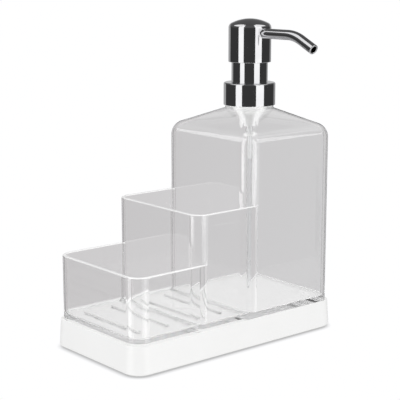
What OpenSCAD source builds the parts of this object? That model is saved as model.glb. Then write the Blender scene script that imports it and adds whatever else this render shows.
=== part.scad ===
// Soap pump caddy: a white base carries one clear moulding with a low bin, a taller bin and a
// soap bottle side by side. A chromed lotion pump screws onto the neck of the bottle.
// X runs along the base from the low bin to the bottle, the spout points to -Y, +Z is up.
// The origin is the centre of the underside that stands on the counter.

/* [Base] */
// Length of the base along its bottom edge
base_l = 160; // [150:1:190]
// Width of the base along its bottom edge
base_w = 83.4; // [78:0.2:110]
// Height of the base from its bottom edge to its rim
base_h = 16.8; // [13:0.2:30]
// Corner radius of the base in plan
base_corner_r = 10.7; // [9:0.1:16]
// How far each side leans in from the bottom edge to the rim
base_draft = 1; // [0.5:0.1:2]
// Rounding of the bottom edge
base_edge_r = 1.6; // [0.6:0.1:2.4]
// Rounding of the rim
base_rim_r = 0.5; // [0.2:0.1:0.6]
// Thickness of the side walls
base_wall = 3; // [2.6:0.1:4]
// Thickness of the deck under the clear body
deck_t = 2.2; // [1.6:0.1:4]
// Depth of the shallow recess that the clear body stands in
seat_depth = 1; // [0.6:0.1:2]
// Thickness of the stiffening ribs under the deck
base_rib_t = 1.6; // [1.2:0.1:2.4]
// Number of cross ribs under the deck
base_rib_count = 3; // [1:1:5]

/* [Non-slip pad] */
// Thickness of the soft pad under the base
pad_t = 2; // [1.4:0.1:4]
// How far the pad stands below the bottom edge
pad_proud = 0.8; // [0.4:0.1:1.2]
// Distance from the bottom edge of the base to the edge of the pad
pad_inset = 2.6; // [2:0.1:3.2]

/* [Clear body] */
// Strip of rim left outside the clear body
clear_inset = 1.4; // [1:0.1:3]
// Thickness of the clear walls
clear_wall = 2.2; // [1.8:0.1:3]
// Length of the low bin, outside, from its end to the face of the tall bin
low_bin_l = 44.6; // [36:0.2:50]
// Length of the tall bin, outside, from its face to the face of the bottle
tall_bin_l = 39.4; // [34:0.2:44]
// Height of the low bin above the rim of the base
low_bin_h = 39.4; // [30:0.2:50]
// Height of the tall bin above the rim of the base
tall_bin_h = 68.9; // [55:0.2:90]
// Corner radius of the low bin, outside
low_corner_r = 9.5; // [6:0.1:12]
// Corner radius of the tall bin, outside
tall_corner_r = 8.4; // [6:0.1:12]
// Height of the floor of the bins above the rim of the base
floor_rise = 3; // [2.6:0.1:5]
// Thickness of the floor of the bins
floor_t = 2.2; // [1.6:0.1:2.4]
// Height of the drain ribs on the floor of the bins
drain_rib_h = 1.5; // [1:0.1:3]
// Width of a drain rib
drain_rib_w = 3.2; // [2:0.1:5]
// Length of a drain rib over its round ends
drain_rib_l = 53; // [40:0.5:60]
// Distance between the two ribs of the low bin
low_rib_gap = 20; // [14:0.5:22]
// Distance between the two ribs of the tall bin
tall_rib_gap = 17; // [12:0.5:20]

/* [Bottle] */
// Height of the upright sides of the bottle above the rim of the base
bottle_side_h = 104.2; // [96:0.2:120]
// Height of the shoulder above the upright sides
shoulder_h = 17.5; // [14:0.1:24]
// Corner and shoulder radius of the bottle, outside
bottle_corner_r = 9; // [7:0.1:12]
// Thickness of the welded floor of the bottle
bottle_floor_t = 3.8; // [2.4:0.1:5]
// Gap around the welded floor
weld_gap = 0.05; // [0.02:0.01:0.1]

/* [Neck] */
// Diameter of the plain neck under the thread
neck_d = 25.4; // [25:0.1:25.7]
// Diameter over the thread of the neck
neck_thread_d = 27.6; // [27.2:0.1:27.9]
// Bore of the neck
neck_bore_d = 21.4; // [21.2:0.1:21.8]
// Height of the neck from the shoulder to its lip
neck_h = 10.6; // [10.5:0.1:11.2]
// Diameter of the bead at the foot of the neck
neck_bead_d = 30.1; // [29:0.1:31]
// Height of the bead at the foot of the neck
neck_bead_h = 1.5; // [1:0.1:1.8]
// Rise of the thread in one turn
thread_pitch = 4.23; // [4:0.01:4.4]
// Turns of thread on the neck
thread_turns = 0.85; // [0.6:0.05:0.9]
// Width of a thread where it leaves its wall
thread_root_w = 2.2; // [1.8:0.1:2.4]
// Width of a thread at its crest
thread_crest_w = 1; // [0.8:0.1:1.3]

/* [Closure] */
// Outside diameter of the chromed closure
closure_d = 32.2; // [32:0.1:34]
// Height of the chromed closure
closure_h = 13.9; // [12.6:0.1:14]
// Gap between the shoulder and the closure
closure_gap = 2; // [2:0.1:2.4]
// Wall of the chromed closure shell
closure_wall = 0.8; // [0.6:0.05:0.9]
// Rounding of the top edge of the closure
closure_edge_r = 0.9; // [0.5:0.1:1.2]
// Thickness of the top of the threaded insert
insert_top_t = 0.7; // [0.6:0.05:0.8]
// Thickness of the neck gasket
gasket_t = 1; // [0.8:0.1:1.2]

/* [Pump body] */
// Diameter of the chromed collar that the head slides over
collar_d = 22.5; // [22.2:0.1:22.7]
// Wall of the chromed collar
collar_wall = 1; // [0.8:0.05:1.1]
// Collar that still shows under the head when it is pressed right down
pressed_show = 0.6; // [0.6:0.1:3]
// Bore of the pump barrel
barrel_bore_d = 16.4; // [16:0.1:16.6]
// Depth of the barrel cap inside the top of the collar
cap_recess = 1.6; // [1.4:0.1:4]
// Wall of the barrel inside the collar
barrel_wall = 1.1; // [0.9:0.05:1.2]
// Diameter of the housing inside the neck
housing_d = 20; // [19.6:0.1:20.4]
// Diameter of the flange that hangs the pump on the neck
flange_d = 25.6; // [25:0.1:25.8]
// Thickness of that flange
flange_t = 1.4; // [1.2:0.1:1.6]
// Height of the cone at the foot of the housing
housing_cone_h = 11; // [9:0.1:12]
// Diameter of the housing at the foot of its cone
housing_tip_d = 10.6; // [10:0.1:11.4]
// How far the cone starts below the shoulder
housing_drop = 1.9; // [1:0.1:3]
// Thickness of the top of the barrel cap
barrel_cap_t = 1.8; // [1.4:0.1:2.2]
// Diameter of the steel balls of both valves
ball_d = 5; // [4.6:0.1:5.2]
// How far a valve ball can lift
ball_lift = 1; // [0.6:0.1:1.2]

/* [Dip tube] */
// Outside diameter of the dip tube
dip_d = 5; // [4.6:0.1:5.6]
// Bore of the dip tube
dip_bore_d = 3.6; // [3.4:0.1:3.8]
// Length of the nipple that the dip tube is pushed onto
nipple_l = 19; // [12:0.5:24]
// Bore of the nipple
nipple_bore_d = 2.2; // [1.8:0.1:2.4]
// Gap between the dip tube and the floor of the bottle
dip_floor_gap = 3; // [2:0.2:8]

/* [Stem, piston and spring] */
// Travel of the pump head
stroke = 12; // [8:0.5:14]
// Outside diameter of the stem
stem_d = 8; // [7.6:0.1:8.4]
// Bore of the stem
stem_bore_d = 4.2; // [3.8:0.1:4.4]
// Height of the piston seal
piston_h = 8; // [7:0.1:8.4]
// Wall of the sealing lips of the piston
piston_lip_t = 0.9; // [0.7:0.05:1.1]
// Thickness of the web of the piston
piston_web_t = 3.6; // [3:0.1:4]
// Diameter of the spring wire
spring_wire_d = 0.8; // [0.6:0.05:1.1]
// Mean diameter of the spring
spring_mean_d = 10; // [9.8:0.1:10.2]
// Number of coils in the spring
spring_coils = 7; // [5:1:7]

/* [Head] */
// Outside diameter of the head
head_d = 26.4; // [26.2:0.1:27]
// Height of the upright side of the head above the axis of the spout
head_above = 3.1; // [2.2:0.1:5]
// Height of the dome over the upright side
dome_h = 5.6; // [5:0.1:7]
// Radius where the dome meets the side
dome_edge_r = 3.2; // [2.4:0.1:4]
// Wall of the head shell
head_wall = 1.3; // [1:0.05:1.35]
// Depth of the core below the axis of the spout
core_below = 3.8; // [3.8:0.05:4.2]
// Height of the core above the axis of the spout
core_above = 3.8; // [3.6:0.05:4]
// Length of the stem socket under the core
socket_l = 2.4; // [2:0.1:3]
// Wall of the stem socket
socket_wall = 2; // [1.4:0.1:2.6]
// Gap left under the stem socket when the head is pressed right down
socket_gap = 0.3; // [0.3:0.1:1]

/* [Spout] */
// Outside diameter of the spout tube
spout_d = 6.1; // [5.4:0.1:6.2]
// Bore of the spout tube
spout_bore_d = 4.1; // [3.6:0.1:4.4]
// Distance from the pump axis to the bend of the spout
spout_reach = 39.5; // [28:0.5:50]
// Length of the sloping end of the spout
spout_end_l = 11.5; // [8:0.5:30]
// How steeply the end of the spout points down
spout_drop_angle = 26; // [10:1:45]
// Radius of the bend, on the axis of the tube
spout_bend_r = 26; // [12:0.5:30]

/* [Fits] */
// Running clearance, each side, between parts that slide or turn
run_gap = 0.05; // [0.03:0.01:0.1]
// Loose clearance, each side, between rigid parts that do not touch
free_gap = 0.2; // [0.15:0.01:0.3]
// Gap at a stop or a seat
stop_gap = 0.1; // [0.05:0.01:0.15]
// Clearance between the crest of one thread and the wall of the other
thread_gap = 0.3; // [0.2:0.01:0.4]

/* [Hidden] */

// Overrun of a cut past the face that it opens, and how deep a thread is sunk into its wall
over = 0.4;
bite = 0.3;
// Fineness of round shapes, of the children of a hull, and of the rounded edges of a profile
round_fn = 96;
hull_fn = 32;
arc_steps = 10;
// Rings in one turn of a thread and of the spring, and sides of the spring wire
thread_steps = 48;
coil_steps = 8;
wire_sides = 6;
// Rings in the bend of the spout, and sides of its tube
bend_steps = 10;
spout_sides = 36;

// Heights, from the counter up
rim_z = pad_proud + base_h;
deck_z = rim_z - seat_depth;
floor_z = rim_z + floor_rise;
shoulder_z = rim_z + bottle_side_h;
neck_z = shoulder_z + shoulder_h;
lip_z = neck_z + neck_h;
closure_z = neck_z + closure_gap;
closure_top_z = closure_z + closure_h;
flange_z = lip_z + gasket_t;
flange_top_z = flange_z + flange_t;
head_z = closure_top_z + pressed_show + stroke;
collar_top_z = head_z + collar_wall;
cap_top_z = collar_top_z - cap_recess;
core_z = cap_top_z + stroke + socket_gap + socket_l;
spout_z = core_z + core_below;
dome_z = spout_z + head_above;

// Plan of the base and of the clear body
clear_l = base_l - 2 * base_draft - 2 * clear_inset;
clear_w = base_w - 2 * base_draft - 2 * clear_inset;
low_x = -clear_l / 2;
tall_x = low_x + low_bin_l;
bottle_x = tall_x + tall_bin_l;
end_x = clear_l / 2;
pump_x = (bottle_x + end_x) / 2;

// Neck and threads
neck_r = neck_d / 2;
neck_bore_r = neck_bore_d / 2;
neck_bead_r = neck_bead_d / 2;
thread_h = (neck_thread_d - neck_d) / 2;
neck_thread_z = lip_z - stop_gap - thread_root_w / 2 - thread_turns * thread_pitch;
insert_z = closure_z + stop_gap;
insert_bore_r = neck_r + thread_h + thread_gap;
insert_thread_z = neck_thread_z - thread_pitch / 2;
// Slope of the shoulder as a share of rise over run, and the wall that it gives measured upright
shoulder_slope_share = 0.45;
shoulder_wall = clear_wall * sqrt(1 + pow(shoulder_slope_share, 2));
neck_inside_z = neck_z + (neck_bead_r - neck_bore_r) * shoulder_slope_share - shoulder_wall;

// Closure and collar
closure_r = closure_d / 2;
collar_r = collar_d / 2;
collar_bore_r = collar_r - collar_wall;
closure_hole_r = collar_r + run_gap;
insert_r = closure_r - closure_wall - run_gap;
insert_top_z = flange_top_z + stop_gap + insert_top_t;
snap_z = insert_top_z + stop_gap;
snap_h = collar_wall / 2;
snap_r = collar_r + snap_h;
closure_under_z = snap_z + snap_h + stop_gap;

// Pump housing and barrel cap
bore_r = barrel_bore_d / 2;
barrel_r = bore_r + barrel_wall;
housing_r = housing_d / 2;
housing_wall = housing_r - bore_r;
barrel_top_z = cap_top_z - barrel_cap_t;
cone_z = neck_z - housing_drop;
tip_z = cone_z - housing_cone_h;
tip_r = housing_tip_d / 2;

// Inlet valve at the foot of the housing
ball_r = ball_d / 2;
ball_room_r = ball_r + free_gap;
nipple_bore_r = nipple_bore_d / 2;
nipple_r = dip_bore_d / 2 - run_gap;
seat_r = (nipple_bore_r + ball_r) / 2;
seat_z = tip_z + nipple_r;
inlet_z = seat_z + sqrt(pow(ball_r, 2) - pow(seat_r, 2)) + stop_gap;
fin_t = ball_d / 6;
// Clear radius inside the hooks over the ball, as a share of the radius of the ball
hook_share = 0.75;
hook_r = ball_r * hook_share;
hook_z = inlet_z + ball_lift + stop_gap + sqrt(pow(ball_r, 2) - pow(hook_r, 2));
fin_top_z = hook_z + fin_t;

// Stem, piston and spring
stem_r = stem_d / 2;
piston_r = bore_r - run_gap;
piston_top_z = barrel_top_z - free_gap;
piston_z = piston_top_z - piston_h;
web_z = piston_z + (piston_h - piston_web_t) / 2;
web_top_z = web_z + piston_web_t;
spring_z = fin_top_z + spring_wire_d / 2 + stop_gap;
spring_top_z = web_z - spring_wire_d / 2 - stop_gap;
spring_l = spring_top_z - spring_z;

// Outlet valve in the head
stem_top_z = spout_z - ball_r;
outlet_z = stem_top_z + sqrt(pow(ball_r, 2) - pow(stem_bore_d / 2, 2)) + stop_gap;
outlet_top_z = outlet_z + ball_r + ball_lift + stop_gap;

// Head and spout
head_r = head_d / 2;
crown_r = (pow(head_r, 2) + pow(dome_h, 2) - 2 * head_r * dome_edge_r) / (2 * (dome_h - dome_edge_r));
crown_angle = atan((head_r - dome_edge_r) / (crown_r - dome_h));
core_top_z = spout_z + core_above;
spout_r = spout_d / 2;
spout_bore_r = spout_bore_d / 2;
spout_root = ball_room_r + socket_wall;

// Dip tube
bottle_floor_z = deck_z + bottle_floor_t;
dip_z = bottle_floor_z + dip_floor_gap;
dip_top_z = tip_z - stop_gap;

// Points on an arc in a profile, from angle a to angle b
function arc(x, z, r, a, b, n = arc_steps) =
    [for (i = [0:n]) [x + r * cos(a + (b - a) * i / n), z + r * sin(a + (b - a) * i / n)]];

// Outline of the head, right half, moved inwards by inset
function head_outline(inset) = concat(
    [[0, head_z], [head_r - inset, head_z]],
    arc(head_r - dome_edge_r, dome_z, dome_edge_r - inset, 0, 90 - crown_angle),
    arc(0, dome_z + dome_h - crown_r, crown_r - inset, 90 - crown_angle, 90)
);

// One ring of points of a thread, wide at the root and narrow at the crest. The crest points
// outwards where dir is 1 and inwards where it is -1.
function thread_ring(r, h, dir, z, a) = [
    for (p = [[r - dir * bite, -thread_root_w / 2], [r + dir * h, -thread_crest_w / 2],
            [r + dir * h, thread_crest_w / 2], [r - dir * bite, thread_root_w / 2]])
        [p[0] * cos(a), p[0] * sin(a), z + p[1]]
];

// Faces that join rings of n points into one closed tube, turned the other way when flip is true
function tube_faces(rings, n, flip = false) = [
    for (face = concat(
            [for (i = [0:rings - 2], j = [0:n - 1]) [i * n + j, (i + 1) * n + j, i * n + (j + 1) % n]],
            [for (i = [0:rings - 2], j = [0:n - 1])
                [(i + 1) * n + j, (i + 1) * n + (j + 1) % n, i * n + (j + 1) % n]],
            [for (j = [1:n - 2]) [0, j, j + 1]],
            [for (j = [1:n - 2]) [(rings - 1) * n, (rings - 1) * n + j + 1, (rings - 1) * n + j]]))
        flip ? [face[2], face[1], face[0]] : face
];

module thread(r, h, dir, z) {
    rings = floor(thread_turns * thread_steps) + 1;
    points = [for (i = [0:rings - 1])
        each thread_ring(r, h, dir, z + thread_pitch * i / thread_steps, 360 * i / thread_steps)];
    translate([pump_x, 0, 0])
        polyhedron(points, tube_faces(rings, 4, dir > 0));
}

// Outline of a box in plan with round corners, centred on Y
module plan(x0, x1, w, r) {
    translate([x0 + r, -w / 2])
        square([x1 - x0 - 2 * r, w]);
    translate([x0, -w / 2 + r])
        square([x1 - x0, w - 2 * r]);
    for (x = [x0 + r, x1 - r], y = [-w / 2 + r, w / 2 - r])
        translate([x, y])
            circle(r, $fn = round_fn);
}

module low_plan(inset) {
    plan(low_x + inset, tall_x + tall_corner_r + low_corner_r, clear_w - 2 * inset, low_corner_r - inset);
}

module tall_plan(inset) {
    plan(tall_x + inset, bottle_x + bottle_corner_r + tall_corner_r, clear_w - 2 * inset,
        tall_corner_r - inset);
}

module bottle_plan(inset) {
    plan(bottle_x + inset, end_x - inset, clear_w - 2 * inset, bottle_corner_r - inset);
}

// A column between two heights on one of the plans
module column(z0, z1) {
    translate([0, 0, z0])
        linear_extrude(z1 - z0)
            children();
}

// A shape turned about the pump axis
module turned() {
    translate([pump_x, 0, 0])
        rotate_extrude($fn = round_fn)
            children();
}

// A ring about the pump axis
module ring(r0, r1, z0, z1) {
    turned()
        translate([r0, z0])
            square([r1 - r0, z1 - z0]);
}

// Solid form of the bottle up to its shoulder, with its round corners and rounded shoulder edge
module bottle_form(inset, z0, top_r, top_z) {
    r = bottle_corner_r;
    hull() {
        for (x = [bottle_x + r, end_x - r], y = [-clear_w / 2 + r, clear_w / 2 - r]) {
            translate([x, y, z0])
                cylinder(shoulder_z - z0, r = r - inset, $fn = hull_fn);
            translate([x, y, shoulder_z])
                sphere(r - inset, $fn = hull_fn);
        }
        translate([pump_x, 0, top_z - over])
            cylinder(over, r = top_r, $fn = 2 * hull_fn);
    }
}

module base_shell() {
    rings = [[pad_proud + base_edge_r, base_corner_r, base_edge_r, 0],
        [rim_z - base_rim_r, base_corner_r - base_draft, base_rim_r, base_draft]];
    hollow_inset = base_wall + base_draft;
    color("white")
    difference() {
        hull()
            for (s = rings, x = [-1, 1], y = [-1, 1])
                translate([x * (base_l / 2 - s[3] - s[1]), y * (base_w / 2 - s[3] - s[1]), s[0]])
                    rotate_extrude($fn = hull_fn)
                        translate([s[1] - s[2], 0])
                            circle(s[2], $fn = hull_fn);
        column(deck_z, rim_z + over)
            plan(low_x - free_gap, end_x + free_gap, clear_w + 2 * free_gap,
                min(low_corner_r, bottle_corner_r));
        column(0, pad_t)
            pad_plan(-run_gap);
        difference() {
            column(pad_t - over, deck_z - deck_t)
                plan(-base_l / 2 + hollow_inset, base_l / 2 - hollow_inset, base_w - 2 * hollow_inset,
                    base_corner_r - hollow_inset);
            column(pad_t, deck_z)
                base_ribs();
        }
    }
}

// Plan of the ribs under the deck
module base_ribs() {
    translate([-base_l / 2, -base_rib_t / 2])
        square([base_l, base_rib_t]);
    for (i = [1:base_rib_count])
        translate([-base_l / 2 + base_l * i / (base_rib_count + 1) - base_rib_t / 2, -base_w / 2])
            square([base_rib_t, base_w]);
}

module pad_plan(inset) {
    e = pad_inset + inset;
    plan(-base_l / 2 + e, base_l / 2 - e, base_w - 2 * e, base_corner_r - e);
}

module non_slip_pad() {
    color("dimgray")
    column(0, pad_t)
        pad_plan(0);
}

// Two raised ribs with round ends that keep a sponge or brush off the floor of a bin
module drain_ribs(middle_x, gap) {
    for (side = [-1, 1])
        column(floor_z - over, floor_z + drain_rib_h) {
            translate([middle_x + side * gap / 2 - drain_rib_w / 2, -(drain_rib_l - drain_rib_w) / 2])
                square([drain_rib_w, drain_rib_l - drain_rib_w]);
            for (end = [-1, 1])
                translate([middle_x + side * gap / 2, end * (drain_rib_l - drain_rib_w) / 2])
                    circle(drain_rib_w / 2, $fn = round_fn);
        }
}

module clear_body() {
    color([0.8, 0.82, 0.84, 0.35]) {
        difference() {
            union() {
                column(deck_z, rim_z + low_bin_h)
                    low_plan(0);
                column(deck_z, rim_z + tall_bin_h)
                    tall_plan(0);
                bottle_form(0, deck_z, neck_bead_r, neck_z);
                translate([pump_x, 0, neck_z - bite])
                    cylinder(neck_bead_h + bite, r = neck_bead_r, $fn = round_fn);
                translate([pump_x, 0, neck_z - bite])
                    cylinder(neck_h + bite, r = neck_r, $fn = round_fn);
            }
            // The low bin, above its floor and under it
            for (span = [[floor_z, rim_z + tall_bin_h], [deck_z - over, floor_z - floor_t]])
                difference() {
                    column(span[0], span[1])
                        low_plan(clear_wall);
                    column(span[0] - over, span[1] + over)
                        tall_plan(0);
                }
            // The tall bin, above its floor and under it
            for (span = [[floor_z, shoulder_z], [deck_z - over, floor_z - floor_t]])
                difference() {
                    column(span[0], span[1])
                        tall_plan(clear_wall);
                    column(span[0] - over, span[1] + over)
                        bottle_plan(0);
                }
            // The inside of the bottle and the bore of its neck
            bottle_form(clear_wall, deck_z - over, neck_bore_r, neck_inside_z);
            translate([pump_x, 0, neck_inside_z - over])
                cylinder(lip_z - neck_inside_z + 2 * over, r = neck_bore_r, $fn = round_fn);
        }
        drain_ribs((low_x + tall_x) / 2, low_rib_gap);
        drain_ribs((tall_x + bottle_x) / 2, tall_rib_gap);
        thread(neck_r, thread_h, 1, neck_thread_z);
    }
}

module bottle_floor() {
    color([0.8, 0.82, 0.84, 0.35])
    column(deck_z, bottle_floor_z)
        bottle_plan(clear_wall + weld_gap);
}

module closure_shell() {
    color("silver")
    turned()
        polygon(concat(
            [[closure_r - closure_wall, closure_z], [closure_r, closure_z]],
            arc(closure_r - closure_edge_r, closure_top_z - closure_edge_r, closure_edge_r, 0, 90),
            [[closure_hole_r, closure_top_z], [closure_hole_r, closure_under_z],
                [closure_r - closure_wall, closure_under_z]]
        ));
}

module closure_insert() {
    color("whitesmoke") {
        ring(insert_bore_r, insert_r, insert_z, insert_top_z);
        ring(closure_hole_r, insert_r, insert_top_z - insert_top_t, insert_top_z);
        thread(insert_bore_r, thread_h, -1, insert_thread_z);
    }
}

module neck_gasket() {
    color("lightgray")
    ring(housing_r + run_gap, neck_r, lip_z, flange_z);
}

module pump_housing() {
    flange_r = flange_d / 2;
    wall_lean = housing_wall * sqrt(1 + pow((housing_r - tip_r) / housing_cone_h, 2));
    outside = [[nipple_r, tip_z], [tip_r, tip_z], [housing_r, cone_z], [housing_r, flange_z],
        [flange_r, flange_z], [flange_r, flange_top_z], [barrel_r, flange_top_z], [barrel_r, barrel_top_z]];
    inside = [[bore_r, barrel_top_z], [bore_r, cone_z], [tip_r - wall_lean, seat_z], [seat_r, seat_z],
        [nipple_bore_r, seat_z - nipple_bore_r], [nipple_bore_r, tip_z - nipple_l],
        [nipple_r, tip_z - nipple_l]];
    color("whitesmoke") {
        turned()
            polygon(concat(outside, inside));
        // Fins that guide the ball, with hooks over it, under the foot of the spring
        intersection() {
            for (a = [0:90:270])
                translate([pump_x, 0, 0])
                    rotate([0, 0, a + 45]) {
                        translate([ball_room_r, -fin_t / 2, seat_z - over])
                            cube([bore_r - ball_room_r, fin_t, fin_top_z - seat_z + over]);
                        translate([hook_r, -fin_t / 2, hook_z])
                            cube([ball_room_r - hook_r + over, fin_t, fin_t]);
                    }
            turned()
                polygon([[0, seat_z - over], [tip_r - over, seat_z - over], [housing_r - over, cone_z],
                    [0, cone_z]]);
        }
    }
}

module barrel_cap() {
    color("whitesmoke")
    turned()
        polygon([[barrel_r + run_gap, flange_top_z], [collar_bore_r - run_gap, flange_top_z],
            [collar_bore_r - run_gap, cap_top_z], [stem_r + run_gap, cap_top_z],
            [stem_r + run_gap, barrel_top_z], [barrel_r + run_gap, barrel_top_z]]);
}

module guide_collar() {
    lead = collar_wall / 3;
    color("silver")
    turned()
        polygon([[collar_bore_r, flange_top_z], [collar_r, flange_top_z], [collar_r, snap_z],
            [snap_r, snap_z], [snap_r, snap_z + snap_h / 2], [collar_r, snap_z + snap_h],
            [collar_r, collar_top_z - lead], [collar_r - lead, collar_top_z],
            [collar_bore_r, collar_top_z]]);
}

module ball(z) {
    translate([pump_x, 0, z])
        sphere(ball_r, $fn = round_fn);
}

module inlet_ball() {
    color("gray")
    ball(inlet_z);
}

module outlet_ball() {
    color("gray")
    ball(outlet_z);
}

module dip_tube() {
    color([0.9, 0.92, 0.94, 0.6])
    difference() {
        ring(dip_bore_d / 2, dip_d / 2, dip_z, dip_top_z);
        // The slanted cut at the lower end
        translate([pump_x - dip_d / 2, -dip_d, dip_z])
            rotate([0, -45, 0])
                translate([0, 0, -2 * dip_d])
                    cube([2 * dip_d, 2 * dip_d, 2 * dip_d]);
    }
}

module return_spring() {
    rings = spring_coils * coil_steps + 1;
    points = [for (i = [0:rings - 1], j = [0:wire_sides - 1])
        let (a = 360 * i / coil_steps, b = 360 * j / wire_sides,
            r = (spring_mean_d + spring_wire_d * cos(b)) / 2,
            z = spring_z + spring_l * i / (rings - 1) + spring_wire_d * sin(b) / 2)
            [r * cos(a), r * sin(a), z]];
    echo(least_gap_between_coils = spring_l / spring_coils - spring_wire_d);
    color("gray")
    translate([pump_x, 0, 0])
        polyhedron(points, tube_faces(rings, wire_sides));
}

module pump_stem() {
    color("whitesmoke")
    ring(stem_bore_d / 2, stem_r, piston_z, stem_top_z);
}

module piston_seal() {
    hub_r = piston_r - piston_lip_t;
    color("gainsboro")
    turned()
        polygon([[stem_r + run_gap, web_z], [hub_r - piston_lip_t, web_z], [hub_r, piston_z],
            [piston_r, piston_z], [piston_r, piston_z + piston_lip_t],
            [piston_r - piston_lip_t / 2, web_z], [piston_r - piston_lip_t / 2, web_top_z],
            [piston_r, piston_top_z - piston_lip_t], [piston_r, piston_top_z], [hub_r, piston_top_z],
            [hub_r - piston_lip_t, web_top_z], [stem_r + run_gap, web_top_z]]);
}

// A straight bore along the spout axis, from the pump axis outwards
module spout_bore(r, y0, y1) {
    translate([pump_x, -y0, spout_z])
        rotate([90, 0, 0])
            cylinder(y1 - y0, r = r, $fn = round_fn);
}

module head_shell() {
    color("silver")
    difference() {
        turned()
            difference() {
                polygon(head_outline(0));
                polygon(head_outline(head_wall));
                translate([-over, head_z - over])
                    square([head_r - head_wall + over, 2 * over]);
            }
        spout_bore(spout_r + run_gap, 0, head_d);
    }
}

module head_core() {
    color("whitesmoke")
    difference() {
        union() {
            turned()
                intersection() {
                    polygon(head_outline(head_wall + run_gap));
                    translate([0, core_z])
                        square([head_r, core_top_z - core_z]);
                }
            ring(stem_r + run_gap, stem_r + socket_wall, core_z - socket_l, core_z + over);
        }
        // Socket for the stem, room for the ball, channel to the spout and seat of the spout
        ring(0, stem_r + run_gap, core_z - socket_l - over, stem_top_z + stop_gap);
        ring(0, ball_room_r, stem_top_z, outlet_top_z);
        spout_bore(spout_bore_r, 0, head_d);
        spout_bore(spout_r + run_gap, spout_root, head_d);
    }
}

// Stations along the axis of the spout: distance from the pump axis, height over the spout axis,
// and slope. Both ends reach further by extra.
function spout_path(extra) =
    let (a = spout_drop_angle, start = spout_reach - spout_bend_r * tan(a / 2), end = spout_end_l + extra)
    concat(
        [[spout_root - extra, 0, 0]],
        [for (i = [0:bend_steps])
            let (t = a * i / bend_steps)
            [start + spout_bend_r * sin(t), spout_bend_r * (cos(t) - 1), t]],
        [[start + spout_bend_r * sin(a) + end * cos(a), spout_bend_r * (cos(a) - 1) - end * sin(a), a]]
    );

// The bent spout as a solid rod of the given radius
module spout_form(r, extra) {
    path = spout_path(extra);
    points = [for (p = path, j = [0:spout_sides - 1])
        let (b = 360 * j / spout_sides)
        [r * cos(b), -p[0] - r * sin(b) * sin(p[2]), p[1] + r * sin(b) * cos(p[2])]];
    translate([pump_x, 0, spout_z])
        polyhedron(points, tube_faces(len(path), spout_sides));
}

module spout_tube() {
    color("silver")
    difference() {
        spout_form(spout_r, 0);
        spout_form(spout_bore_r, over);
    }
}

base_shell();
non_slip_pad();
clear_body();
bottle_floor();
closure_shell();
closure_insert();
neck_gasket();
pump_housing();
barrel_cap();
guide_collar();
inlet_ball();
dip_tube();
return_spring();
pump_stem();
piston_seal();
head_shell();
head_core();
outlet_ball();
spout_tube();
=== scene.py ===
import math
import bmesh
import bpy
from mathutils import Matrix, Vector
from mathutils.bvhtree import BVHTree


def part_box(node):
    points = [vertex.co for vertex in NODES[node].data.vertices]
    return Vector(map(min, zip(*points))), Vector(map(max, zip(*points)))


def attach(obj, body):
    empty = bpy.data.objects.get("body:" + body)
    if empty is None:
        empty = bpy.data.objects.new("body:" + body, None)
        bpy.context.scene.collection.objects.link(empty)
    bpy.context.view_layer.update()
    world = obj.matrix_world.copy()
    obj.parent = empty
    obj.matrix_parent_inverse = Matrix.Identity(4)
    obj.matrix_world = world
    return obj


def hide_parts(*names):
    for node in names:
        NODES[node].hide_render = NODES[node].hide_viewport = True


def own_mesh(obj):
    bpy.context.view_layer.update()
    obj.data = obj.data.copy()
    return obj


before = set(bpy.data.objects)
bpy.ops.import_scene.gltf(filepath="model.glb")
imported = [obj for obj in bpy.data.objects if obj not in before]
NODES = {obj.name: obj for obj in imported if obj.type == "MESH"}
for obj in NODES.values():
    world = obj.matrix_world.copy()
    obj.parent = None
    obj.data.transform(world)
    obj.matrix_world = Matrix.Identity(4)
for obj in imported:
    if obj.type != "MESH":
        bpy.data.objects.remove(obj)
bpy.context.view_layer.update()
MM = 0.001

# Sizes of the part in millimetres, as in its source
BASE_L, BASE_HW, BASE_R = 160.0, 41.7, 10.7
LEAN_IN, LEAN_RISE = 1.0, 14.7        # the side of the base leans in by the first over the second
SKIRT, ROOMS, ROOM_FOOT, ROOM_TOP, RIB_HALF = 4.0, 4, 1.0, 14.4, 0.8
PROUD, PAD_T, PAD_POCKET = 0.8, 2.0, 2.55
DECK, RIM, FLOOR, FLOOR_UNDER = 16.6, 17.6, 20.6, 18.4
LOW_X, TALL_X, BOTTLE_X, END_X = -77.6, -33.0, 6.4, 77.6
HALF_W, WALL = 39.3, 2.2
LOW_R, TALL_R, BOTTLE_R = 9.5, 8.4, 9.0
LOW_RIM, TALL_RIM, SHOULDER = 57.0, 86.5, 121.8
NECK, NECK_INSIDE, LIP = 139.3, 138.85, 149.9
NECK_R, NECK_BORE, BEAD_R, BEAD_H = 12.7, 10.7, 15.05, 1.5
BOTTLE_FLOOR = 20.4
DRAIN_RIBS = (-65.3, -45.3, -21.8, -4.8)
PUMP_X = 42.0
SEAT = DECK + 0.05          # a hair of air between the clear moulding and the deck
FOOT_EDGE = 0.25            # rounding at the foot of the clear moulding
THREAD_PITCH, THREAD_TURNS, THREAD_H, THREAD_HALF = 4.23, 0.85, 1.1, 1.1
CLOSURE_R, CLOSURE_INSIDE, CLOSURE_HOLE = 16.1, 15.3, 11.3
CLOSURE_FOOT, CLOSURE_UNDER, CLOSURE_TOP = 141.3, 153.8, 155.2
COLLAR_BORE, COLLAR_R, RING_R = 10.25, 11.25, 11.75
COLLAR_FOOT, RING_FOOT, RING_EDGE, RING_TOP, COLLAR_TOP = 152.3, 153.2, 153.5, 153.7, 168.8
HEAD_R, HEAD_EDGE, HEAD_WALL, DOME_H = 13.2, 3.2, 1.3, 5.6
HEAD_FOOT, HEAD_SIDE_TOP, STROKE = 167.8, 188.8, 12.0
SPOUT_Z, SPOUT_R, SPOUT_BORE = 185.7, 3.05, 2.05
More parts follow.
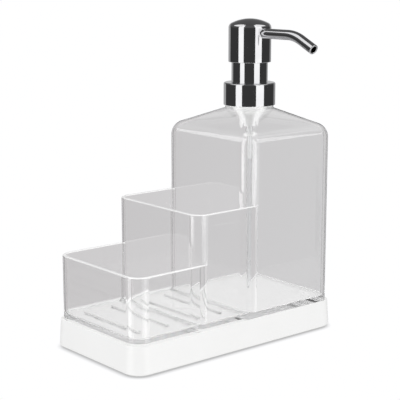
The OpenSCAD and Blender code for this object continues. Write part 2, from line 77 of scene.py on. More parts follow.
SPOUT_REACH, SPOUT_BEND, SPOUT_DROP, SPOUT_END, SPOUT_ROOT = 39.5, 26.0, 26.0, 11.5, 4.7
BEND_STEPS = 24

QUARTER = (0, 15, 30, 45, 60, 75, 90)      # angles in degrees along a small rounding
ROUND_SIDES = 256                          # points round the chromed pieces


# Mesh helpers, all in millimetres

def cosd(degrees):
    return math.cos(math.radians(degrees))


def sind(degrees):
    return math.sin(math.radians(degrees))


def new_object(name, verts, faces):
    mesh = bpy.data.meshes.new(name)
    mesh.from_pydata(verts, [], faces)
    mesh.validate()
    obj = bpy.data.objects.new(name, mesh)
    bpy.context.scene.collection.objects.link(obj)
    return obj


def fix_normals(obj):
    bm = bmesh.new()
    bm.from_mesh(obj.data)
    bmesh.ops.recalc_face_normals(bm, faces=bm.faces)
    bm.to_mesh(obj.data)
    bm.free()


def loft(name, loops, ring=False):
    """A closed form through loops of equally many points: capped at both ends, or joined to a ring."""
    n, count = len(loops[0]), len(loops)
    verts = [p for loop in loops for p in loop]
    faces = [] if ring else [tuple(reversed(range(n))), tuple(range((count - 1) * n, count * n))]
    for k in range(count if ring else count - 1):
        m = (k + 1) % count
        for i in range(n):
            j = (i + 1) % n
            faces.append((k * n + i, k * n + j, m * n + j, m * n + i))
    obj = new_object(name, verts, faces)
    fix_normals(obj)
    return obj


def box_loop(x0, x1, hw, r, z, seg=20):
    """Corners of a box in plan with round corners."""
    points = []
    left, right, far, near = x0 + r, x1 - r, hw - r, -hw + r
    for cx, cy, a in ((right, far, 0), (left, far, 90), (left, near, 180), (right, near, 270)):
        for i in range(seg + 1):
            t = math.radians(a + 90 * i / seg)
            points.append((cx + r * math.cos(t), cy + r * math.sin(t), z))
    return points


def arc(cx, cz, r, a0, a1, n=6):
    """Points on an arc of a profile, from angle a0 to a1 in degrees."""
    return [(cx + r * math.cos(math.radians(a0 + (a1 - a0) * i / n)),
             cz + r * math.sin(math.radians(a0 + (a1 - a0) * i / n))) for i in range(n + 1)]


def rounded(points, n=5):
    """A closed profile whose corners (r, z, radius) are rounded by their radius."""
    out = []
    count = len(points)
    for i, (x, z, rad) in enumerate(points):
        if rad <= 0:
            out.append((x, z))
            continue
        p = Vector((x, z))
        a = (Vector(points[i - 1][:2]) - p).normalized()
        b = (Vector(points[(i + 1) % count][:2]) - p).normalized()
        half = a.angle(b) / 2
        t = rad / math.tan(half)
        centre = p + (a + b).normalized() * (rad / math.sin(half))
        start, end = p + a * t - centre, p + b * t - centre
        turn = start.angle_signed(end)
        for k in range(n + 1):
            ang = -turn * k / n
            c, s = math.cos(ang), math.sin(ang)
            out.append((centre.x + start.x * c - start.y * s, centre.y + start.x * s + start.y * c))
    return out


def lathe(name, profile, steps=ROUND_SIDES):
    """A closed profile of (r, z) turned about the pump axis. Points on the axis become poles."""
    on_axis = 1e-6
    verts, rings = [], []
    for r, z in profile:
        if r < on_axis:
            rings.append([len(verts)])
            verts.append((PUMP_X, 0.0, z))
        else:
            rings.append(list(range(len(verts), len(verts) + steps)))
            for i in range(steps):
                t = 2 * math.pi * i / steps
                verts.append((PUMP_X + r * math.cos(t), r * math.sin(t), z))
    faces = []
    for k in range(len(rings)):
        a, b = rings[k], rings[(k + 1) % len(rings)]
        if len(a) == 1 and len(b) == 1:
            continue
        for i in range(steps):
            j = (i + 1) % steps
            if len(a) == 1:
                faces.append((a[0], b[j], b[i]))
            elif len(b) == 1:
                faces.append((a[i], a[j], b[0]))
            else:
                faces.append((a[i], a[j], b[j], b[i]))
    obj = new_object(name, verts, faces)
    fix_normals(obj)
    return obj


def boolean(obj, other, operation):
    """Adds or cuts another form, which is used up."""
    mod = obj.modifiers.new("cut", "BOOLEAN")
    mod.operation, mod.object, mod.solver = operation, other, "EXACT"
    dg = bpy.context.evaluated_depsgraph_get()
    mesh = bpy.data.meshes.new_from_object(obj.evaluated_get(dg))
    obj.modifiers.clear()
    old = obj.data
    obj.data = mesh
    bpy.data.meshes.remove(old)
    bpy.data.objects.remove(other)


def finish_piece(obj, material, body, slot, *nodes, sharp=35, weighted=True):
    """Scales a piece to metres, shades it smooth with sharp edges, and lets it ride on its body."""
    for v in obj.data.vertices:
        v.co *= MM
    for p in obj.data.polygons:
        p.use_smooth = True
    obj.data.set_sharp_from_angle(angle=math.radians(sharp))
    if weighted:
        mod = obj.modifiers.new("normals", "WEIGHTED_NORMAL")
        mod.keep_sharp = True
        mod.weight = 50
    obj.data.materials.clear()
    obj.data.materials.append(material)
    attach(obj, body)
    if nodes:
        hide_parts(*nodes)
    return obj


class Nodes:
    """Shorthand for building a tree of shader nodes."""

    def __init__(self, tree):
        self.tree = tree

    def math(self, operation, a, b=0.0):
        node = self.tree.nodes.new("ShaderNodeMath")
        node.operation = operation
        for i, v in enumerate((a, b)):
            if isinstance(v, (int, float)):
                node.inputs[i].default_value = v
            else:
                self.tree.links.new(v, node.inputs[i])
        return node.outputs[0]

    def dot(self, vector, constant):
        node = self.tree.nodes.new("ShaderNodeVectorMath")
        node.operation = "DOT_PRODUCT"
        self.tree.links.new(vector, node.inputs[0])
        node.inputs[1].default_value = constant
        return node.outputs["Value"]

    def step(self, value, a, b):
        """Rises softly from 0 at a to 1 at b."""
        node = self.tree.nodes.new("ShaderNodeMapRange")
        node.interpolation_type = "SMOOTHSTEP"
        if a < b:
            lo, hi, t0, t1 = a, b, 0, 1
        else:
            lo, hi, t0, t1 = b, a, 1, 0
        for key, v in (("From Min", lo), ("From Max", hi), ("To Min", t0), ("To Max", t1)):
            node.inputs[key].default_value = v
        self.tree.links.new(value, node.inputs["Value"])
        return node.outputs["Result"]

    def mix(self, factor, a, b):
        node = self.tree.nodes.new("ShaderNodeMix")
        node.data_type = "RGBA"
        self.tree.links.new(factor, node.inputs[0])
        for i, v in ((6, a), (7, b)):
            if isinstance(v, (int, float)):
                v = (v, v, v)
            if isinstance(v, tuple):
                node.inputs[i].default_value = (*v, 1)
            else:
                self.tree.links.new(v, node.inputs[i])
        return node.outputs[2]

    def ramp(self, value, stops, cool=1.01):
        """A ramp through grey tones, with a touch of blue."""
        node = self.tree.nodes.new("ShaderNodeValToRGB")
        while len(node.color_ramp.elements) < len(stops):
            node.color_ramp.elements.new(0.5)
        for el, (pos, v) in zip(node.color_ramp.elements, stops):
            el.position = pos
            el.color = (v, v, v * cool, 1)
        self.tree.links.new(value, node.inputs["Fac"])
        return node.outputs["Color"]


# Materials

PLASTIC_IOR, NATURAL_IOR = 1.49, 1.5


def material(name):
    mat = bpy.data.materials.new(name)
    mat.use_nodes = True
    tree = mat.node_tree
    shader = tree.nodes["Principled BSDF"]
    return mat, tree, shader


def noise(tree, scale, detail=2.0, rough=0.5):
    coords = tree.nodes.new("ShaderNodeTexCoord")
    node = tree.nodes.new("ShaderNodeTexNoise")
    node.inputs["Scale"].default_value = scale
    node.inputs["Detail"].default_value = detail
    node.inputs["Roughness"].default_value = rough
    tree.links.new(coords.outputs["Object"], node.inputs["Vector"])
    return node.outputs["Fac"]


def ranged(tree, value, low, high, start=0.3, end=0.7):
    node = tree.nodes.new("ShaderNodeMapRange")
    node.inputs["From Min"].default_value = start
    node.inputs["From Max"].default_value = end
    node.inputs["To Min"].default_value = low
    node.inputs["To Max"].default_value = high
    tree.links.new(value, node.inputs["Value"])
    return node.outputs["Result"]


def mixed(tree, value, a, b, start=0.3, end=0.7):
    ramp = tree.nodes.new("ShaderNodeValToRGB")
    ramp.color_ramp.elements[0].position = start
    ramp.color_ramp.elements[1].position = end
    ramp.color_ramp.elements[0].color = (*a, 1)
    ramp.color_ramp.elements[1].color = (*b, 1)
    tree.links.new(value, ramp.inputs["Fac"])
    return ramp.outputs["Color"]


def bump(tree, shader, height, strength, distance):
    node = tree.nodes.new("ShaderNodeBump")
    node.inputs["Strength"].default_value = strength
    node.inputs["Distance"].default_value = distance
    tree.links.new(height, node.inputs["Height"])
    tree.links.new(node.outputs["Normal"], shader.inputs["Normal"])


def dress(tree, shader, tones, drift, rough, gloss, grain, strength, depth):
    """Two tones that drift into each other, gloss that varies over the surface, and a grain.
    Drift, gloss and grain are the scale, the detail and the roughness of a noise."""
    tree.links.new(mixed(tree, noise(tree, *drift), *tones), shader.inputs["Base Color"])
    tree.links.new(ranged(tree, noise(tree, *gloss), *rough), shader.inputs["Roughness"])
    bump(tree, shader, noise(tree, *grain), strength, depth)


def moulded(name, a, b, rough_low, rough_high, grain=1800.0, depth=0.00002):
    """Moulded plastic, with a fine grain."""
    mat, tree, shader = material(name)
    dress(tree, shader, tones=(a, b), drift=(35.0,), rough=(rough_low, rough_high), gloss=(160.0, 4.0),
          grain=(grain, 3.0), strength=0.25, depth=depth)
    shader.inputs["IOR"].default_value = PLASTIC_IOR
    return mat


def chrome():
    """Bright plating, almost flat."""
    mat, tree, shader = material("chrome")
    shader.inputs["Metallic"].default_value = 1.0
    dress(tree, shader, tones=((0.60, 0.60, 0.615), (0.66, 0.66, 0.67)), drift=(120.0, 3.0),
          rough=(0.025, 0.075), gloss=(420.0, 5.0, 0.6), grain=(200.0, 1.0), strength=0.05, depth=0.00001)
    return mat


def steel():
    """Drawn steel of the spring and the balls."""
    mat, tree, shader = material("steel")
    shader.inputs["Metallic"].default_value = 1.0
    dress(tree, shader, tones=((0.50, 0.50, 0.51), (0.60, 0.60, 0.60)), drift=(300.0, 3.0),
          rough=(0.16, 0.3), gloss=(900.0, 4.0), grain=(2600.0, 2.0), strength=0.2, depth=0.00001)
    return mat


def clear_plastic():
    """Clear moulding: slow flow waves from the mould, a light body colour, and rim tops made mostly opaque
    white so that they show as bright lines: a painted highlight.
    """
    mat, tree, shader = material("clear_plastic")
    n = Nodes(tree)
    shader.inputs["Base Color"].default_value = (1, 1, 1, 1)
    shader.inputs["IOR"].default_value = PLASTIC_IOR
    in_mm = (0, 0, 1000)
    # upright and level also set where the painted highlight on the rim tops, and the frost of the floor,
    # take their full white
    upright, level = 0.05, 0.3               # how far a face may look up and still be clear, or be matt
    frost_top = (22.5, 22.0)                 # heights where the frosting of the floor begins and is full
    bead_foot, bead_top = (139.2, 139.5), (141.2, 141.0)
    # how white the painted highlight makes the rim tops, and how frosted the floor and the bead are
    rim_highlight_white, frost_haze = 0.85, 0.32
    height = n.dot(tree.nodes.new("ShaderNodeTexCoord").outputs["Object"], in_mm)
    # painted highlight: a band at each rim height where the clear plastic turns mostly white, so the rim
    # tops show as bright lines
    rim_highlight_mask = 0.0
    for rim in (LOW_RIM, TALL_RIM):
        under, over = n.step(height, rim - 0.75, rim - 0.15), n.step(height, rim + 1, rim + 0.5)
        highlight_band = n.math("MULTIPLY", under, over)
        rim_highlight_mask = n.math("MAXIMUM", rim_highlight_mask, highlight_band)
    # walls that only pass by these heights are upright, and so stay clear
    up = n.dot(tree.nodes.new("ShaderNodeNewGeometry").outputs["Normal"], (0, 0, 1))
    rim_highlight_mask = n.math("MULTIPLY", rim_highlight_mask, n.step(n.math("ABSOLUTE", up), upright, level))
    # the floor is faintly frosted, and so is the bead under the closure
    floor = n.math("MULTIPLY", n.step(height, *frost_top), n.step(n.math("ABSOLUTE", up), upright, level))
    bead = n.math("MULTIPLY", n.step(height, *bead_foot), n.step(height, *bead_top))
    frost = n.math("MULTIPLY", n.math("MAXIMUM", floor, bead), frost_haze)
    # the painted rim highlight and the frost together take away the clear
    frost_and_rim_highlight = n.math("MAXIMUM", n.math("MULTIPLY", rim_highlight_mask, rim_highlight_white), frost)
    tree.links.new(n.math("SUBTRACT", 1.0, frost_and_rim_highlight), shader.inputs["Transmission Weight"])
    gloss, rough = (70.0, 4.0), (0.0, 0.02)
    waves, wave_strength, wave_depth = (45.0, 1.5), 0.06, 0.0004
    body_colour, body_density = (0.35, 0.35, 0.37, 1), 6.0
    tree.links.new(ranged(tree, noise(tree, *gloss), *rough), shader.inputs["Roughness"])
    bump(tree, shader, noise(tree, *waves), wave_strength, wave_depth)
    volume = tree.nodes.new("ShaderNodeVolumeAbsorption")
    volume.inputs["Color"].default_value = body_colour
    volume.inputs["Density"].default_value = body_density
    tree.links.new(volume.outputs["Volume"], tree.nodes["Material Output"].inputs["Volume"])
    return mat


def natural_plastic(name, tone, clear, edge=None):
    """Uncoloured plastic that lets light through, less so towards its edges where edge is given."""
    lift = 1.04
    mat, tree, shader = material(name)
    paler = tuple(min(1, c * lift) for c in tone)
    dress(tree, shader, tones=(tone, paler), drift=(90.0,), rough=(0.1, 0.28), gloss=(220.0, 4.0),
          grain=(700.0, 2.0), strength=0.1, depth=0.00003)
    if edge is None:
        shader.inputs["Transmission Weight"].default_value = clear
    else:
        n = Nodes(tree)
        weight = tree.nodes.new("ShaderNodeLayerWeight")
        edge_from, edge_full = 0.2, 0.36
        share = n.step(weight.outputs["Facing"], edge_from, edge_full)
        share = n.math("ADD", clear, n.math("MULTIPLY", share, edge - clear))
        tree.links.new(share, shader.inputs["Transmission Weight"])
    shader.inputs["IOR"].default_value = NATURAL_IOR
    return mat


WHITE_BASE = moulded("white_base", (0.885, 0.885, 0.88), (0.90, 0.90, 0.897), 0.28, 0.36, depth=0.000008)
SOFT_PAD = moulded("soft_pad", (0.60, 0.60, 0.59), (0.72, 0.72, 0.71), 0.7, 0.9, grain=2600.0, depth=0.0001)
WHITE_PLASTIC = moulded("white_plastic", (0.84, 0.84, 0.83), (0.9, 0.9, 0.89), 0.22, 0.34)
SEAL = moulded("seal", (0.74, 0.74, 0.73), (0.82, 0.82, 0.81), 0.45, 0.6)
CHROME = chrome()
STEEL = steel()
CLEAR = clear_plastic()
NATURAL = natural_plastic("natural_plastic", (0.95, 0.955, 0.96), 0.95)
HOUSING = natural_plastic("housing_plastic", (0.97, 0.97, 0.97), 0.25, 0.02)

# White base

def base_profile():
    """Inset from the bottom outline and height, from the pocket of the pad to the deck."""
    lean = math.degrees(math.atan2(LEAN_IN, LEAN_RISE))
    bevel, foot_r, foot_z, foot_steps = 0.15, 1.6, 2.4, 10
    rim_r, rim_in, rim_z, rim_steps = 0.5, 1.5, 17.1, 7
    recess = 2.2
    points = [(PAD_POCKET, PAD_T), (PAD_POCKET, PROUD + bevel), (PAD_POCKET - bevel, PROUD)]
    points += [(foot_r - foot_r * sind(a), foot_z - foot_r * cosd(a))
               for a in [i * (90 - lean) / foot_steps for i in range(foot_steps + 1)]]
    points += [(rim_in - rim_r * cosd(a), rim_z + rim_r * sind(a))
               for a in [lean + i * (90 - lean) / rim_steps for i in range(rim_steps + 1)]]
    points += [(2.0, RIM), (2.13, RIM - 0.05), (recess, RIM - 0.2), (recess, DECK)]
    return points


def make_base():
    """The white base: a leaning side, a recess in its deck and a ribbed hollow underneath."""
    loops = [box_loop(-BASE_L / 2 + d, BASE_L / 2 - d, BASE_HW - d, BASE_R - d, z, 24)
             for d, z in base_profile()]
    base = loft("base_body", loops)
    # the hollow underside, in four by two rooms between the ribs
    end, side_y, pitch = BASE_L / 2 - SKIRT, BASE_HW - SKIRT, BASE_L / ROOMS
    for i in range(ROOMS):
        x0 = -end if i == 0 else -BASE_L / 2 + pitch * i + RIB_HALF
        x1 = end if i == ROOMS - 1 else -BASE_L / 2 + pitch * (i + 1) - RIB_HALF
        for side in (-1, 1):
            y0, y1 = (RIB_HALF, side_y) if side > 0 else (-side_y, -RIB_HALF)
            boolean(base, room_form(x0, x1, y0, y1, i, side), "DIFFERENCE")
    return finish_piece(base, WHITE_BASE, "caddy", "white_base", "base_shell")


def room_form(x0, x1, y0, y1, i, side):
    """One room under the deck, with the round outer corner of the base where it has one."""
    big, small, steps = 6.7, 0.8, 8
    radii = [small] * 4                      # +x+y, -x+y, -x-y, +x-y
    last = ROOMS - 1
    corner = {(1, last): 0, (1, 0): 1, (-1, 0): 2, (-1, last): 3}.get((side, i))
    if corner is not None:
        radii[corner] = big
    loops = []
    for z in (ROOM_FOOT, ROOM_TOP):
        loop = []
        for (cx, cy, a), r in zip(((x1, y1, 0), (x0, y1, 90), (x0, y0, 180), (x1, y0, 270)), radii):
            sx = -1 if a in (0, 270) else 1
            sy = -1 if a in (0, 90) else 1
            for k in range(steps + 1):
                t = math.radians(a + 90 * k / steps)
                loop.append((cx + sx * r + r * math.cos(t), cy + sy * r + r * math.sin(t), z))
        loops.append(loop)
    return loft("room", loops)


# Clear moulding

def low_loop(inset, z):
    return box_loop(LOW_X + inset, TALL_X + TALL_R + LOW_R, HALF_W - inset, LOW_R - inset, z)


def tall_loop(inset, z):
    return box_loop(TALL_X + inset, BOTTLE_X + BOTTLE_R + TALL_R, HALF_W - inset, TALL_R - inset, z)


def filled(loop, steps=20, long_side=5.0):
    """Adds points on the long sides of a loop, at even angles round the axis of the pump."""
    out = []
    for p, q in zip(loop, loop[1:] + loop[:1]):
        out.append(p)
        if math.dist(p, q) < long_side:
            continue
        start = math.atan2(p[1], p[0] - PUMP_X)
        turn = (math.atan2(q[1], q[0] - PUMP_X) - start) % (2 * math.pi)
        dx, dy = q[0] - p[0], q[1] - p[1]
        for k in range(1, steps):
            a = start + turn * k / steps
            ux, uy = math.cos(a), math.sin(a)
            far = ((p[0] - PUMP_X) * dy - p[1] * dx) / (ux * dy - uy * dx)
            out.append((PUMP_X + far * ux, far * uy, p[2]))
    return out


def bottle_loop(inset, z):
    """The plan of the bottle, with points on its straight sides too, so that the neck comes out round."""
    return filled(box_loop(BOTTLE_X + inset, END_X - inset, HALF_W - inset, BOTTLE_R - inset, z, seg=12))


def wall_form(name, loop, foot, rim, edge=0.8):
    """Outside of a bin: a small round at the foot, upright sides, a round rim."""
    steps = [(FOOT_EDGE, foot), (0.0, foot + FOOT_EDGE)]
    steps += [(edge - edge * cosd(a), rim - edge + edge * sind(a)) for a in QUARTER]
    return loft(name, [loop(i, z) for i, z in steps])


def hollow_form(name, loop, floor, rim, fillet=1.8, edge=0.8, past=3):
    """Inside of a bin: a filleted floor, upright walls and a mouth that flares over the rim."""
    steps = [(WALL + fillet - fillet * sind(a), floor + fillet - fillet * cosd(a)) for a in QUARTER]
    steps += [(WALL - edge + edge * cosd(a), rim - edge + edge * sind(a)) for a in QUARTER]
    steps += [(WALL - edge, rim + past)]
    return loft(name, [loop(i, z) for i, z in steps])


def keep_form(name, loop, floor, top, fillet=1.8, past=3):
    """Plastic that stays where a hollow meets the next form: it flares into the floor."""
    steps = [(-fillet, floor - past), (-fillet, floor)]
    steps += [(-fillet + fillet * sind(a), floor + fillet - fillet * cosd(a)) for a in QUARTER[1:]]
    steps += [(0.0, top)]
    return loft(name, [loop(i, z) for i, z in steps])


def shoulder_hull(inset, disc_r, disc_z):
    """The convex form of the shoulder: four round corners drawn up to a disc, for casting rays on."""
    bm = bmesh.new()
    steps, sides, down = 40, 192, 60
    r = BOTTLE_R - inset
    for sx, cx in ((-1, BOTTLE_X + BOTTLE_R), (1, END_X - BOTTLE_R)):
        for sy in (-1, 1):
            cy = sy * (HALF_W - BOTTLE_R)
            for i in range(steps + 1):
                for j in range(steps + 1):
                    a, e = math.pi / 2 * i / steps, math.pi / 2 * j / steps
                    out = r * math.cos(e)
                    bm.verts.new((cx + sx * out * math.cos(a), cy + sy * out * math.sin(a),
                                  SHOULDER + r * math.sin(e)))
                a = math.pi / 2 * i / steps
                bm.verts.new((cx + sx * r * math.cos(a), cy + sy * r * math.sin(a), SHOULDER - down))
    for i in range(sides):
        t = 2 * math.pi * i / sides
        bm.verts.new((PUMP_X + disc_r * math.cos(t), disc_r * math.sin(t), disc_z))
    out = bmesh.ops.convex_hull(bm, input=bm.verts)
    drop = [g for g in out["geom_interior"] + out["geom_unused"] if isinstance(g, bmesh.types.BMVert)]
    bmesh.ops.delete(bm, geom=list(set(drop)), context="VERTS")
    tree = BVHTree.FromBMesh(bm)
    bm.free()
    return tree


def shoulder_loops(inset, disc_r, disc_z, rings=26, ease=1.15, eye_down=12):
    """Rings over the shoulder up to the disc, with one point for each point of the side below,
    and the angle of each of those points about the axis of the pump."""
    tree = shoulder_hull(inset, disc_r, disc_z)
    side = bottle_loop(inset, SHOULDER)
    eye = Vector((PUMP_X, 0, SHOULDER - eye_down))
    loops = []
    for k in range(1, rings):
        t = (k / rings) ** ease
        loop = []
        for p in side:
            d = Vector(p) - eye
            flat = math.hypot(d.x, d.y)
            ux, uy = d.x / flat, d.y / flat
            low = math.atan2(d.z, flat)
            high = math.atan2(disc_z - eye.z, disc_r)
            e = low + (high - low) * t
            ray = Vector((ux * math.cos(e), uy * math.cos(e), math.sin(e)))
            hit = tree.ray_cast(eye, ray)[0]
            loop.append(tuple(hit))
        loops.append(loop)
    angles = [math.atan2(p[1], p[0] - PUMP_X) for p in side]
    return loops, angles


def turned_loop(angles, r, z):
    return [(PUMP_X + r * math.cos(a), r * math.sin(a), z) for a in angles]


def bottle_outside():
    """The outside of the bottle, from its foot over the shoulder and the bead to the lip."""
    hair, top = 0.02, NECK + BEAD_H
    edge, edge_cut = 0.3, 0.09           # a rounding, and how far its middle stands off the corner
    lip, lip_cut = 0.4, 0.12
    over, angles = shoulder_loops(0, BEAD_R - hair, NECK)
    loops = [bottle_loop(FOOT_EDGE, SEAT), bottle_loop(0, SEAT + FOOT_EDGE)]
    loops += [bottle_loop(0, SHOULDER)] + over
    bead = [(BEAD_R, NECK), (BEAD_R, top - edge), (BEAD_R - edge_cut, top - edge_cut),
            (BEAD_R - edge, top), (NECK_R + lip, top), (NECK_R + lip_cut, top + lip_cut),
            (NECK_R, top + lip), (NECK_R, LIP - lip), (NECK_R - lip_cut, LIP - lip_cut),
            (NECK_R - lip, LIP)]
    loops += [turned_loop(angles, r, z) for r, z in bead]
    return loft("bottle_outside", loops)


def bottle_inside():
    """The room for the soap, open at the top."""
    fillet, past = 0.8, 3
    over, angles = shoulder_loops(WALL, NECK_BORE, NECK_INSIDE)
    steps = [(WALL + fillet - fillet * sind(a), BOTTLE_FLOOR + fillet - fillet * cosd(a))
             for a in (0, 22.5, 45, 67.5, 90)]
    loops = [bottle_loop(i, z) for i, z in steps]
    loops += [bottle_loop(WALL, SHOULDER)] + over
    loops += [turned_loop(angles, NECK_BORE, z) for z in (NECK_INSIDE, LIP + past)]
    return loft("bottle_inside", loops)


def rib(middle_x, y_half=26.5, r=1.6, z0=FLOOR - 0.6, z1=FLOOR + 1.5, steps=12):
    """A drain rib with round ends and a rounded top."""
    loops = []
    top = [(0, z1 - 0.7), (0.05, z1 - 0.44), (0.2, z1 - 0.2), (0.44, z1 - 0.05), (0.7, z1)]
    for inset, z in [(0, z0)] + top:
        loop = []
        for cy, a in ((y_half - r, 0), (-y_half + r, 180)):
            for k in range(steps + 1):
                t = math.radians(a + 180 * k / steps)
                loop.append((middle_x + (r - inset) * math.cos(t), cy + (r - inset) * math.sin(t), z))
        loops.append(loop)
    return loft("rib", loops)


def neck_thread():
    """The thread of the neck, a raised bar on a helix that sinks into the neck at both ends."""
    steps, below_lip, root, sunk, fade_steps = 60, 0.1, 0.4, 0.05, 5
    bevel, bevel_half, crest_half = 0.15, 0.6, 0.42
    z0 = LIP - below_lip - THREAD_HALF - THREAD_TURNS * THREAD_PITCH
    loops = []
    count = int(THREAD_TURNS * steps)
    for i in range(count + 1):
        a = 2 * math.pi * i / steps
        fade = min(1, i / fade_steps, (count - i) / fade_steps)
        crest = NECK_R + THREAD_H * fade - sunk * (1 - fade)
        z = z0 + THREAD_PITCH * i / steps
        section = ((NECK_R - root, -THREAD_HALF), (crest - bevel, -bevel_half), (crest, -crest_half),
                   (crest, crest_half), (crest - bevel, bevel_half), (NECK_R - root, THREAD_HALF))
        loops.append([(PUMP_X + r * math.cos(a), r * math.sin(a), z + dz) for r, dz in section])
    return loft("thread", loops)


def merge_close(obj, dist=0.002):
    """Merges the points that a boolean left on top of each other."""
    bm = bmesh.new()
    bm.from_mesh(obj.data)
    bmesh.ops.remove_doubles(bm, verts=bm.verts, dist=dist)
    bmesh.ops.dissolve_degenerate(bm, edges=bm.edges, dist=dist)
    bm.to_mesh(obj.data)
    bm.free()


def make_clear():
    """The one clear moulding: two bins and the bottle, with their hollows, ribs and thread."""
    above = 6
    body = bottle_outside()
    boolean(body, wall_form("tall_wall", tall_loop, SEAT, TALL_RIM), "UNION")
    boolean(body, wall_form("low_wall", low_loop, SEAT, LOW_RIM), "UNION")
    low = hollow_form("low_hollow", low_loop, FLOOR, LOW_RIM)
    boolean(low, keep_form("tall_keep", tall_loop, FLOOR, LOW_RIM + above), "DIFFERENCE")
    tall = hollow_form("tall_hollow", tall_loop, FLOOR, TALL_RIM)
    boolean(tall, keep_form("bottle_keep", bottle_loop, FLOOR, TALL_RIM + above), "DIFFERENCE")
    boolean(body, low, "DIFFERENCE")
    boolean(body, tall, "DIFFERENCE")
    # the underside of the bins is open up to their floor
    for loop, past in ((low_loop, tall_loop), (tall_loop, bottle_loop)):
        under = loft("under", [loop(WALL, DECK - 1), loop(WALL, FLOOR_UNDER)])
        stay = loft("stay", [past(0, DECK - 2), past(0, FLOOR_UNDER + 2)])
        boolean(under, stay, "DIFFERENCE")
        boolean(body, under, "DIFFERENCE")
    boolean(body, bottle_inside(), "DIFFERENCE")
    for x in DRAIN_RIBS:
        boolean(body, rib(x), "UNION")
    boolean(body, neck_thread(), "UNION")
    merge_close(body)
    body.name = "clear_moulding"
    return finish_piece(body, CLEAR, "caddy", "clear_plastic", "clear_body", "bottle_floor", sharp=40)


# Chromed pump

def make_closure():
    """The shell of the screw closure, as corners with the radius of their rounding."""
    corners = [(CLOSURE_INSIDE, CLOSURE_FOOT, 0.1), (CLOSURE_R, CLOSURE_FOOT, 0.28),
               (CLOSURE_R, CLOSURE_TOP, 0.9), (CLOSURE_HOLE, CLOSURE_TOP, 0.25),
               (CLOSURE_HOLE, CLOSURE_UNDER, 0.0), (CLOSURE_INSIDE, CLOSURE_UNDER, 0.2)]
    obj = lathe("closure_cap", rounded(corners, 7))
    return finish_piece(obj, CHROME, "closure", "chrome", "closure_shell")


def make_collar():
    """The collar that the head slides over, with a ring near its foot."""
    corners = [(COLLAR_BORE, COLLAR_FOOT, 0.0), (COLLAR_R, COLLAR_FOOT, 0.0), (COLLAR_R, RING_FOOT, 0.0),
               (RING_R, RING_FOOT, 0.1), (RING_R, RING_EDGE, 0.1), (COLLAR_R, RING_TOP, 0.1),
               (COLLAR_R, COLLAR_TOP, 0.35), (COLLAR_BORE, COLLAR_TOP, 0.25)]
    obj = lathe("collar_sleeve", rounded(corners, 6))
    return finish_piece(obj, CHROME, "pump_body", "chrome", "guide_collar")


def head_outline(inset):
    """Outline of the head from the top of its side to the apex of its dome."""
    r, h, e = HEAD_R, DOME_H, HEAD_EDGE
    crown = (r * r + h * h - 2 * r * e) / (2 * (h - e))
    turn = math.degrees(math.atan((r - e) / (crown - h)))
    return (arc(r - e, HEAD_SIDE_TOP, e - inset, 0, 90 - turn, 12)
            + arc(0, HEAD_SIDE_TOP + h - crown, crown - inset, 90 - turn, 90, 20)[1:])


def make_head():
    """The cap of the head, with the hole for the spout in its side."""
    outer, inner = head_outline(0), head_outline(HEAD_WALL)
    outer[-1] = (0.0, outer[-1][1])
    inner[-1] = (0.0, inner[-1][1])
    # inset and rise along the rounded edge at the foot
    edge = ((1.3, 0.2), (1.24, 0.06), (1.1, 0.0), (0.35, 0.0), (0.18, 0.05), (0.05, 0.18), (0.0, 0.35))
    foot = [(HEAD_R - inset, HEAD_FOOT + rise) for inset, rise in edge]
    obj = lathe("head_cap", foot + outer + list(reversed(inner)))
    play, length = 0.05, 20.0
    boolean(obj, spout_hole(SPOUT_R + play, length), "DIFFERENCE")
    return finish_piece(obj, CHROME, "head", "chrome", "head_shell")


def spout_hole(r, length, sides=96):
    """A level rod from the axis of the pump towards the spout."""
    turns = [2 * math.pi * k / sides for k in range(sides)]
    return loft("hole", [[(PUMP_X + r * math.cos(t), -y, SPOUT_Z + r * math.sin(t)) for t in turns]
                         for y in (0.0, length)])


def spout_path():
    """The middle of the spout, as distance from the pump axis and height."""
    a, bend, end = math.radians(SPOUT_DROP), SPOUT_BEND, SPOUT_END
    knee = SPOUT_REACH - bend * math.tan(a / 2)
    path = [(SPOUT_ROOT, SPOUT_Z)]
    path += [(knee + bend * math.sin(t), SPOUT_Z - bend * (1 - math.cos(t)))
             for t in [a * i / BEND_STEPS for i in range(BEND_STEPS + 1)]]
    y, z = path[-1]
    path.append((y + end * math.cos(a), z - end * math.sin(a)))
    return path


def make_spout():
    """A bent tube with a softly rounded mouth."""
    a = math.radians(SPOUT_DROP)
    *middle, (ty, tz) = spout_path()
    # steps along the tube and into its wall, round the edge of the mouth
    edge = ((-0.35, 0.0), (-0.16, 0.03), (-0.04, 0.13), (0.0, 0.28))
    mouth = [(off, SPOUT_R - cut) for off, cut in edge]
    mouth += [(off, SPOUT_BORE + cut) for off, cut in reversed(edge)]
    rings = [(p, SPOUT_R) for p in middle]
    rings += [((ty + off * math.cos(a), tz - off * math.sin(a)), r) for off, r in mouth]
    rings += [(p, SPOUT_BORE) for p in reversed(middle)]
    slopes = [0.0] + [a * i / BEND_STEPS for i in range(BEND_STEPS + 1)]
    slopes += [a] * len(mouth) + slopes[::-1]
    sides, loops = 64, []
    for ((y, z), r), s in zip(rings, slopes):
        loops.append([(PUMP_X + r * math.cos(t), -(y + r * math.sin(t) * math.sin(s)),
                       z + r * math.sin(t) * math.cos(s))
                      for t in [2 * math.pi * k / sides for k in range(sides)]])
    obj = loft("spout", loops, ring=True)
    return finish_piece(obj, CHROME, "head", "chrome", "spout_tube", sharp=50)


